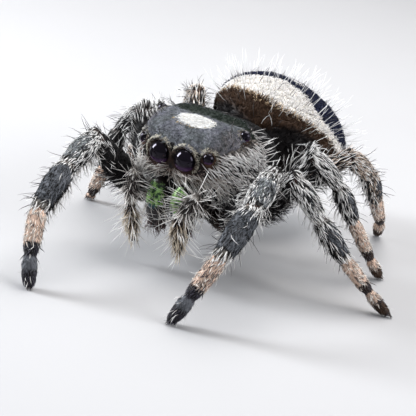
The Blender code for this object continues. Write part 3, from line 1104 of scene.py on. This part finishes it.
# Where the rings of a hair lie along it
LONG, MIDDLE, SHORT = (0.0, 0.3, 0.65), (0.0, 0.35, 0.7), (0.0,)
UPPER_LEG = ("femur", "patella", "tibia")
LOWER_LEG = ("metatarsus", "tarsus")


def combed(amount, wavelength=0.4, seed=3, push=(0, 0, 0)):
    """A lie of the hair: along the part, swayed together in locks, and pushed one way."""
    return lambda roots: roots.along + swirl(roots.points, wavelength, seed) * amount + push


def swept(x, y, z, amount=0.3, wavelength=0.3):
    """A lie given in the head's frame, with x outward from the middle."""
    def flow(roots):
        way = np.stack(np.broadcast_arrays(np.tanh(roots.x / 0.25) * x, y, z), 1)
        return way @ HEAD_TURN.T + swirl(roots.points, wavelength, 7) * amount
    return flow


def shown(s, mark):
    return np.clip(markings(s)[mark], 0, 1)


def below(s):
    """1 on the underside of a limb."""
    return step(np.abs(s.around), 1.7, 2.4)


def coat_abdomen():
    velvet = Coat("velvet_hair", "velvet", (0.008, 0.006, 0.007), COLOURS["black"], ("umber", "navy"),
                  rough=0.7, specular=0.06)
    velvet.grow("abdomen_velvet", lambda s: s.on("abdomen") * 360 * (1 - abdomen_white(s))
                * (1 - 0.45 * step(np.abs(s.around), 1.9, 2.6)), 0.27, 0.014, 0.65, combed(0.35, 0.5))
    white = Coat("band_hair", "coat_pale", (0.63, 0.55, 0.47), (0.85, 0.84, 0.84), rough=0.5,
                 contrast=0.4)
    white.grow("abdomen_band", lambda s: 560 * abdomen_white(s), 0.19, 0.015, 0.45,
               combed(0.6, 0.22, 13), spread=0.5, bend=0.6)
    edge = Coat("band_edge_hair", "coat_pale", (0.16, 0.08, 0.04), (0.74, 0.54, 0.33))
    edge.grow("abdomen_band_edge", lambda s: 420 * s.on("abdomen")
              * window(band_place(s), -0.10, 0.05, 0.03) * (1 - step(abdomen_turn(s), 1.6, 1.9))
              * (0.6 + 0.6 * ripple(s.points, 0.16, 54)),
              0.24, 0.013, 0.7, combed(0.5, 0.2, 14), spread=0.5)
    fleck = Coat("fleck_hair", "coat_pale", (0.10, 0.12, 0.09), (0.42, 0.50, 0.40), rough=0.35)
    fleck.grow("abdomen_flecks", lambda s: 700 * flank_flecks(s), 0.12, 0.014, 0.3)
    seta = Coat("seta_hair", "coat_pale", (0.55, 0.53, 0.52), (0.95, 0.95, 0.95), rough=0.4,
                contrast=0.15)
    seta.grow("abdomen_setae", lambda s: s.on("abdomen")
              * (3 + 5 * (1 - step(abdomen_turn(s), 1.2, 2.2)))
              * (0.4 + 0.6 * step(band_place(s), -0.35, -0.05)),
              1.05, 0.010, 1.30, combed(0.2, 0.6, 15), bend=0.22, rings=LONG)
    dark = Coat("dark_bristle", "coat_black", (0.010, 0.008, 0.008), (0.030, 0.022, 0.020), rough=0.35)
    dark.grow("abdomen_bristles", lambda s: s.on("abdomen") * 6, 0.50, 0.010, 0.85,
              combed(0.2, 0.6, 16), bend=0.5, rings=LONG)
    velvet.grow("spinneret_hair", lambda s: s.on("spinnerets") * 220, 0.18, 0.012, 0.35)


def coat_head():
    scales = Coat("crown_scale", "coat_slate", (0.100, 0.104, 0.122), (0.275, 0.280, 0.340), ("peach",),
                  rough=0.6, contrast=0.6, specular=0.3, patches=(0.190, 0.212, 0.222), mottle=0.55)
    scales.grow("crown_scales", lambda s: 820 * crown(s) * (1 - head_spot(s)), 0.13, 0.016, 0.30,
                swept(0.3, -0.5, 0, 0.8, 0.25), clear=1.2, flat=0.35, rings=SHORT, spread=0.6,
                bend=0.5, sink=0.002)
    white = Coat("spot_hair", "coat_pale", (0.70, 0.67, 0.62), (0.86, 0.86, 0.86), rough=0.45,
                 contrast=0.15)
    white.grow("head_spot", lambda s: 900 * head_spot(s), 0.17, 0.016, 0.50, swept(0.1, -1, 0, 0.5),
               flat=0.5, spread=0.5)
    edge = Coat("spot_edge_hair", "coat_peach", (0.25, 0.16, 0.07), (0.74, 0.54, 0.26), rough=0.5)
    edge.grow("head_spot_edge", lambda s: 900 * s.on("carapace") * (s.z > 2.2) * (s.y < -1.66)
              * window(np.hypot(s.x / SPOT_HALF[0], (s.y - SPOT_PLACE[1]) / SPOT_HALF[1]),
                       1.02, 1.14, 0.02), 0.12, 0.012, 0.35, swept(0.1, -1, 0))
    dark = Coat("head_dark_hair", "coat_black", (0.008, 0.008, 0.008), (0.018, 0.018, 0.018),
                ("green", "russet"), rough=0.5, specular=0.06)
    dark.grow("head_dark", lambda s: s.on("carapace") * 320 * (1 - crown(s)) * (1 - head_spot(s))
              * (1 - 0.7 * bald_face(s)), 0.17, 0.013, 0.40, swept(0.3, 0.8, -0.5), clear=1.1)


def bald_face(s):
    """1 on the bare strip below the front eyes."""
    return window(s.z, CLYPEUS_TOP - 0.2, FRONT_EYE_HEIGHT, 0.06) * (s.y < -1.9)


def coat_jaws():
    pale = Coat("jaw_hair", "coat_pale", (0.34, 0.29, 0.25), (0.90, 0.86, 0.80), rough=0.4,
                contrast=0.35)
    dark = Coat("jaw_dark_hair", "coat_black", (0.008, 0.006, 0.006), (0.030, 0.022, 0.020), rough=0.4)
    wine = Coat("jaw_fringe_hair", "coat_black", (0.012, 0.006, 0.006), (0.075, 0.026, 0.024),
                rough=0.4)
    for side, surface in zip(SIDES, JAWS):
        pale.grow(f"jaw_hair_{side}", lambda s: 24 * (1 - step(np.abs(s.around), 1.6, 2.2))
                  * window(s.t, 0.15, 0.7, 0.12), 0.60, 0.0135, 0.85,
                  combed(0.7, 0.5, 33, (0.7, 0, 0)), surface=surface, rings=LONG, bend=0.2, curl=0.2)
        dark.grow(f"jaw_dark_{side}", lambda s: 70 * step(s.t + 0.3 * np.abs(s.around), 0.55, 0.9),
                  0.26, 0.0125, 0.6, combed(0.5, 0.4, 34), surface=surface, bend=0.5)
        wine.grow(f"jaw_fringe_{side}", lambda s: 150 * step(s.t, 0.66, 0.85), 0.44, 0.0130, 0.75,
                  combed(0.5, 0.4, 35), surface=surface, rings=LONG, bend=0.2, curl=0.2)


def coat_cheeks():
    tan = Coat("cheek_under_hair", "coat_pale", (0.020, 0.015, 0.014), (0.66, 0.59, 0.57), mottle=0.8)
    tan.grow("cheek_under", lambda s: cheek(s) * 240 * step(s.z, 1.7, 2.2), 0.20, 0.012, 0.35,
             swept(0.45, 0.5, -0.5, 0.25), clear=1.1)
    pale = Coat("cheek_hair", "coat_pale", (0.66, 0.61, 0.58), (0.98, 0.97, 0.96), rough=0.42,
                contrast=0.4)
    pale.grow("cheek_hair", lambda s: cheek(s) * (105 + 85 * step(s.z, 1.55, 1.9))
              * window(s.z, 1.15, 2.2, 0.12), 0.42, 0.0160, 0.36, swept(0.45, 0.5, -0.5, 0.18),
              clear=1.15, rings=MIDDLE, spread=0.13)
    pale.grow("cheek_lower", lambda s: cheek(s) * 56 * window(s.z, 0.10, 1.25, 0.1), 0.66, 0.0155,
              0.55, swept(0.55, 0.25, -0.6), clear=1.15, rings=LONG, bend=0.45, curl=0.18, spread=0.2)
    pale.grow("cheek_long", lambda s: s.on("carapace") * 62 * window(cheek_rim(s), -0.16, 0.03, 0.03)
              * step(s.z, 0.9, 1.3) * (1 - step(s.z, 2.5, 2.6)), 0.66, 0.0150, 0.85,
              swept(0.6, 0.8, 0.45, 0.2), rings=LONG, bend=0.25, curl=0.25, spread=0.2)
    pale.grow("cheek_rim", lambda s: s.on("carapace") * 420 * window(cheek_rim(s), -0.07, 0.02, 0.02)
              * step(s.z, 1.1, 1.4) * (1 - step(s.z, 2.5, 2.6)), 0.19, 0.0120, 0.6,
              swept(0.5, 0.5, -0.4, 0.2))


def coat_face():
    cream = Coat("face_hair", "coat_pale", (0.44, 0.36, 0.31), (0.95, 0.92, 0.87), rough=0.42,
                 contrast=0.35)
    cream.grow("clypeus_hair", lambda s: s.on("carapace") * 62 * (s.y < -1.7)
               * window(s.z, 0.90, 1.22, 0.05), 0.70, 0.0155, 0.60, swept(1.1, -0.2, -0.7, 0.35),
               clear=1.1, rings=LONG, bend=0.3, droop=(0.1, 0, -0.28), curl=0.2)
    cream.grow("clypeus_sweep", lambda s: s.on("carapace") * 150 * (s.y < -1.7)
               * window(s.z, 1.0, 1.42, 0.05), 0.36, 0.0130, 0.40, swept(1.0, 0, -0.35, 0.35),
               clear=1.06, rings=MIDDLE, bend=0.5, spread=0.2)
    short = Coat("face_short_hair", "coat_peach", (0.12, 0.08, 0.07), (0.58, 0.45, 0.40), mottle=0.5)
    short.grow("face_short", lambda s: s.on("carapace") * 260 * (s.y < -1.6)
               * window(s.z, 0.95, 1.36 + 0.2 * step(np.abs(s.x), 0.8, 1.1), 0.08),
               0.15, 0.012, 0.35, swept(1, 0, -0.2, 0.4), clear=1.12)
    dark = Coat("lash", "coat_black", (0.006, 0.005, 0.005), (0.020, 0.015, 0.014), rough=0.3)
    dark.grow("lashes", lash_share, lash_length, 0.0125, 0.9, swept(0.5, -0.3, 0.8), clear=1.2,
              rings=LONG, bend=0.3, curl=0.2, varied=0.4)


def lash_share(s):
    """Lashes per square millimetre: over the front eyes, round the rear eyes and in two tufts."""
    over_front = window(s.z, CROWN_EDGE - 0.1, CROWN_EDGE + 0.15, 0.05) * (s.y < -1.4)
    rears = [bell(distance(s.points, EYES[f"eye_rear_{side}"][0]), 0.38, 0.1) for side in SIDES]
    tufts = [bell(distance(s.head, (x, *TUFT[1:])), 0, 0.16) for x in (-TUFT[0], TUFT[0])]
    return s.on("carapace") * (24 * over_front + 30 * sum(rears) + 190 * sum(tufts))


def lash_length(roots):
    in_tuft = np.abs(roots.y - TUFT[1]) < 0.3
    return np.where(in_tuft, 0.46, np.where(roots.y > -1.3, 0.66, 0.30))


def coat_rims():
    tan = Coat("rim_hair", "coat_peach", (0.26, 0.22, 0.17), (0.60, 0.56, 0.46), rough=0.5,
               contrast=0.45)
    tan.grow("eye_rims", lambda s: 2200 * rim_share(s), 0.10, 0.0110, 0.35, rim_lie, clear=1.02,
             spread=0.25)


def rim_share(s):
    """Share of short hair in a ring round each eye, most above it and on its outer side."""
    total = np.zeros(len(s))
    for name, (centre, radius) in EYES.items():
        if "small" in name:
            continue
        ring = window(distance(s.points, centre), radius * 1.04, radius * 1.06 + 0.12, 0.02)
        local = (s.head - to_head(centre)) / radius
        side = np.sign(to_head(centre)[0])
        lit = np.clip(0.15 + local[:, 2] * 0.7 + local[:, 0] * side * 0.45, 0, 1)
        total += ring * lit * (2 if "rear" in name else 1)
    return total


def rim_lie(roots):
    """Away from the nearest eye, and down round it."""
    nearest = np.array([
        min(EYES.values(), key=lambda eye: np.linalg.norm(point - eye[0]) / eye[1])[0]
        for point in roots.points])
    around = np.cross(roots.points - nearest, roots.normals)
    around *= np.where(around[:, 2] < 0, 1, -1)[:, None]
    return unit(roots.points - nearest) * 0.6 + unit(around) * 0.8


def pale_share(s):
    """Pale scale-like hairs per square millimetre of leg, over its black."""
    back = 1 - 0.85 * below(s)
    slate = shown(s, "slate")
    femur = s.on("femur") * np.where(s.leg == 1, 3 + 45 * step(s.t, 0.70, 0.98),
                                     8 + 75 * step(s.t, 0.45, 0.95)) * back
    patella = s.on("patella") * (1 - slate) * 185 * back
    tibia = s.on("tibia") * (4 + 120 * (1 - window(s.t, 0.14, 0.84, 0.05))) * back * (1 - slate)
    tibia += s.on("tibia") * (s.leg > 1) * 62 * (1 - slate) * back
    # Fewer pale hairs low on the right second leg: painted shade, where the head's shadow falls on it
    in_painted_shade = (s.leg == 2) & (s.points[:, 0] < 0) & (s.points[:, 2] < 3.6)
    return (femur + patella + tibia) * np.where(in_painted_shade, 0.3, 1)


def coat_legs():
    black = Coat("leg_dark_hair", "coat_black", (0.004, 0.004, 0.004), (0.011, 0.010, 0.010),
                 rough=0.45, specular=0.10)
    black.grow("leg_dark", lambda s: 170 * s.on(*UPPER_LEG), 0.18, 0.013, 0.36, combed(0.3))
    slate = Coat("leg_slate_hair", "coat_slate", (0.080, 0.087, 0.100), (0.290, 0.310, 0.350),
                 rough=0.5, contrast=0.6, specular=0.2, patches=(0.130, 0.148, 0.170), mottle=0.6)
    knee = Coat("knee_hair", "coat_slate", (0.34, 0.37, 0.365), (0.70, 0.74, 0.73), rough=0.5,
                specular=0.2, mottle=0.4)
    for name, coat, segment, density in (("leg_slate", slate, "tibia", 460),
                                         ("leg_knee", knee, "patella", 420)):
        coat.grow(name, lambda s: shown(s, "slate") * s.on(segment) * density, 0.13, 0.015, 0.26,
                  combed(0.2), flat=0.4, rings=SHORT, bend=0.5, sink=0.002)
    tan = Coat("leg_tan_hair", "coat_peach", (0.24, 0.15, 0.10), (0.80, 0.65, 0.53), rough=0.45)
    tan.grow("leg_tan", lambda s: pale_share(s) * (s.leg == 4), 0.30, 0.0140, 0.34,
             combed(0.2, 0.5, 20), flat=0.45, spread=0.12)
    pale = Coat("leg_pale_hair", "coat_pale", (0.72, 0.69, 0.66), (0.97, 0.96, 0.95), rough=0.42,
                contrast=0.3)
    pale.grow("leg_pale", lambda s: pale_share(s) * np.where(s.leg == 4, 0.35, 1), 0.31, 0.0180, 0.32,
              combed(0.14, 0.5, 21), curl=0.08, flat=0.45, spread=0.10)
    peach = Coat("leg_peach_hair", "coat_peach", (0.72, 0.50, 0.37), (0.97, 0.83, 0.73), rough=0.45,
                 contrast=0.55, mottle=0.7)
    peach.grow("leg_peach", lambda s: shown(s, "peach") * 210 * s.on(*LOWER_LEG), 0.19, 0.0135, 0.42,
               combed(0.6, 0.3, 22))
    cream = Coat("leg_cream_hair", "coat_pale", (0.75, 0.60, 0.49), (0.97, 0.92, 0.85), rough=0.45,
                 contrast=0.3)
    cream.grow("leg_cream", lambda s: shown(s, "peach") * 100 * s.on(*LOWER_LEG), 0.22, 0.0170, 0.5,
               combed(0.7, 0.3, 27), flat=0.45)
    tip = Coat("foot_hair", "coat_black", (0.014, 0.012, 0.016), (0.056, 0.050, 0.072),
               ("umber", "slate"), rough=0.35, specular=0.35)
    tip.grow("foot_hair", lambda s: (1 - 0.8 * shown(s, "peach")) * 380 * s.on(*LOWER_LEG),
             0.15, 0.012, 0.36, combed(0.3, 0.3, 23))


def fringe_share(s):
    """Long hairs per square millimetre: most under the front knees and tibiae, few over them."""
    front = s.leg == 1
    thick = np.where(front, 90 * s.on("patella") + 80 * s.on("tibia") + 14 * s.on("femur"), 24)
    return s.on(*UPPER_LEG) * thick * (np.where(front, 0.06, 0.25) + below(s))


def coat_fringes():
    fringe = Coat("fringe_hair", "coat_pale", (0.42, 0.39, 0.37), (0.95, 0.94, 0.92), rough=0.38,
                  contrast=0.3)
    fringe.grow("leg_fringe", fringe_share, lambda roots: np.where(roots.on("tibia"), 0.55, 0.74),
                0.0130, 0.90, combed(0.35, 0.4, 24), rings=LONG, bend=0.4, curl=0.15, spread=0.2)
    # Painted shade: black hairs under the femora, most on leg II, a dark mass where shadow falls between
    # the legs and head
    black = Coat("painted_shade_hair", "coat_black", (0.005, 0.005, 0.006), (0.014, 0.013, 0.016), rough=0.5,
                 specular=0.1)
    black.grow("femur_painted_shade", lambda s: s.on("femur") * np.where(s.leg == 2, 130, 50) * below(s)
               * window(s.t, 0.1, 0.95, 0.1), 0.50, 0.0140, 1.0, combed(0.4, 0.4, 36), rings=LONG,
               bend=0.3, curl=0.2)
    fringe.grow("leg_tip_fringe", lambda s: 8 * s.on(*LOWER_LEG), 0.32, 0.0100, 0.85,
                combed(0.3, 0.4, 25), rings=LONG, bend=0.45, curl=0.3)
    spine = Coat("spine", "coat_black", (0.010, 0.008, 0.008), (0.035, 0.024, 0.020), rough=0.28,
                 specular=0.6)
    spine.grow("leg_bristles", lambda s: 9 * s.on(*UPPER_LEG) * (1 - 0.5 * below(s)), 0.68, 0.0110,
               1.05, combed(0.3, 0.4, 26), rings=LONG, bend=0.35, curl=0.15)
    spine.grow("leg_spines", lambda s: 9 * s.on("metatarsus", "tibia") * (0.15 + below(s)), 0.30,
               0.019, 0.75, rings=LONG, bend=0.3, curl=0.05)


def coat_palps():
    under = Coat("palp_under_hair", "coat_pale", (0.05, 0.037, 0.032), (0.74, 0.69, 0.65), rough=0.5,
                 mottle=0.8)
    under.grow("palp_under", lambda s: s.on(*PALP_KINDS) * 130, 0.18, 0.015, 0.40, combed(0.3))
    pale = Coat("palp_hair", "coat_pale", (0.66, 0.61, 0.57), (0.97, 0.96, 0.94), rough=0.4,
                contrast=0.3)
    pale.grow("palp_hair", lambda s: s.on(*PALP_KINDS) * (30 + 24 * s.on("palp_tibia")), 0.80, 0.0150,
              1.12, combed(0.15, 0.3, 28), rings=LONG, bend=0.12, spread=0.2)
    pale.grow("palp_tufts", lambda s: 260 * s.on("palp_tibia")
              * (bell(s.t, 0.0, 0.12) + 0.7 * bell(s.t, 1.0, 0.12)), 0.22, 0.0180, 0.8,
              combed(0.4, 0.3, 30), rings=MIDDLE, bend=0.4)
    tan = Coat("palp_tip_hair", "coat_peach", (0.26, 0.18, 0.12), (0.88, 0.77, 0.61), rough=0.45)
    tan.grow("palp_tip", lambda s: s.on("palp_tarsus") * 150, 0.40, 0.0135, 0.50,
             combed(0.3, 0.25, 29), rings=MIDDLE, bend=0.5)


def coat_under():
    dark = Coat("under_hair", "under_body", (0.010, 0.008, 0.008), (0.036, 0.028, 0.026), ("russet",),
                specular=0.1)
    dark.grow("under_hair", lambda s: s.on("under") * 130, 0.20, 0.013, 0.4, combed(0.5))
    pale = Coat("coxa_hair", "coat_pale", (0.16, 0.14, 0.13), (0.62, 0.60, 0.58), rough=0.4)
    pale.grow("coxa_hair", lambda s: s.on("under") * 22 * step(s.points[:, 2], 1.2, 1.9), 0.40,
              0.0115, 0.8, combed(0.5), rings=LONG)


for grow_coat in (coat_abdomen, coat_head, coat_jaws, coat_cheeks, coat_face, coat_rims, coat_legs,
                  coat_fringes, coat_palps, coat_under):
    grow_coat()


# ---- Floor, lights and camera ----

def build_stage():
    bpy.ops.mesh.primitive_plane_add(size=FLOOR_SIDE * MM, location=(0, 0, 0))
    floor = bpy.context.active_object
    floor.name = "floor"
    made = Material("pale_floor", Roughness=0.7)
    made.colour(made.mix(made.noise(0.05, 2), (0.355, 0.35, 0.355), (0.385, 0.38, 0.385)))
    floor.data.materials.append(made.material)


def soft_light(name, azimuth, elevation, reach, size, power, colour=(1, 1, 1)):
    """A rectangular light, so many degrees round and above the face and millimetres from it."""
    data = bpy.data.lights.new(name, "AREA")
    data.shape = "RECTANGLE"
    data.size, data.size_y = size[0] * MM, size[1] * MM
    data.energy = power
    data.color = colour
    obj = new_object(name, data)
    a, e = radians(azimuth), radians(elevation)
    back = Vector((sin(a) * cos(e), -cos(a) * cos(e), sin(e)))
    obj.location = Vector(BETWEEN_EYES * MM) + back * reach * MM
    obj.rotation_mode = "QUATERNION"
    obj.rotation_quaternion = (-back).to_track_quat("-Z", "Y")


def build_camera():
    data = bpy.data.cameras.new("camera")
    data.lens = LENS
    data.clip_start, data.clip_end = 0.001, 5
    obj = new_object("camera", data)
    view = -Vector((sin(AZIMUTH) * cos(ELEVATION), -cos(AZIMUTH) * cos(ELEVATION), sin(ELEVATION)))
    right = Vector((cos(AZIMUTH), sin(AZIMUTH), 0))
    up = right.cross(view)
    tilted_right = right * cos(ROLL) + up * sin(ROLL)
    tilted_up = up * cos(ROLL) - right * sin(ROLL)
    place = Matrix((tilted_right, tilted_up, -view)).transposed().to_4x4()
    place.translation = (Vector(BETWEEN_EYES) + Vector(AIM) - view * DISTANCE) * MM
    obj.matrix_world = place
    bpy.context.scene.camera = obj


def build_world():
    world = bpy.data.worlds.new("studio")
    world.use_nodes = True
    background = world.node_tree.nodes["Background"]
    background.inputs["Color"].default_value = (0.92, 0.95, 1.0, 1)
    background.inputs["Strength"].default_value = 0.36
    bpy.context.scene.world = world
    bpy.context.scene.view_settings.view_transform = "Standard"


build_stage()
build_world()
soft_light("window", -71, 24, 80, (25, 45), 0.135, (0.92, 0.96, 1))
soft_light("overhead", 190, 70, 80, (60, 50), 0.068, (1, 0.99, 0.98))
soft_light("fill", 101, 25, 110, (80, 60), 0.108, (0.95, 0.97, 1))
soft_light("back", 190, 40, 100, (70, 40), 0.030)
build_camera()
